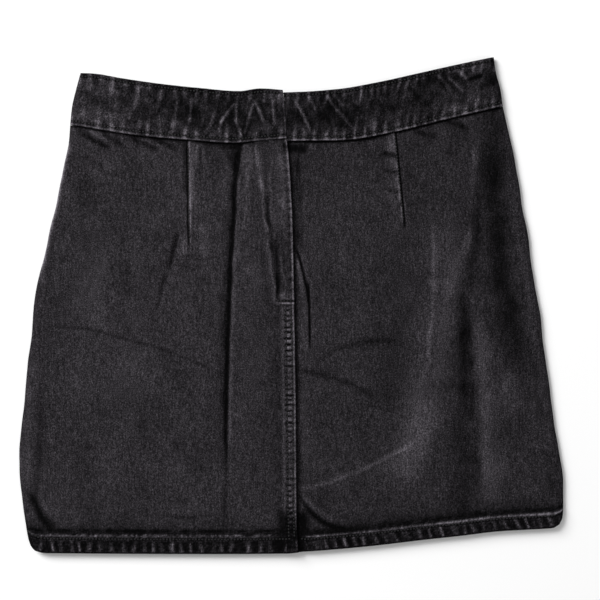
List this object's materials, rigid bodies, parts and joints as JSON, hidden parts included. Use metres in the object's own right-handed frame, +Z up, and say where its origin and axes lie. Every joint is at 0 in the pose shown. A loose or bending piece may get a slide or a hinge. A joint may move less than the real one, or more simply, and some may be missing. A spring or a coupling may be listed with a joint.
{
  "type": "denim skirt",
  "caption": "Short black denim skirt with a waistband and a back zip lap, laid flat with its back up and its hem turned up.",
  "frame": {"origin": "on the ground under the skirt, at the middle of the laid-out skirt's width and length", "axes": "+Z up from the ground, +Y from the hem to the waist, +X to the viewer's right looking down on the back of the skirt"},
  "size_m": [0.4739, 0.4324, 0.0068],
  "materials": {
    "denim": "matt washed black denim twill with paler wear on its ridges and hem",
    "thread": "black sewing thread with a slight sheen",
    "zip_tape": "black woven zip tape and dyed chain"
  },
  "bodies": {
    "root": {"front_panel": "denim", "back_panel_left": "denim", "back_panel_right": "denim", "waistband_front": "denim", "waistband_back_left": "denim", "waistband_back_right": "denim", "zip": "zip_tape"}
  },
  "joints": []
}
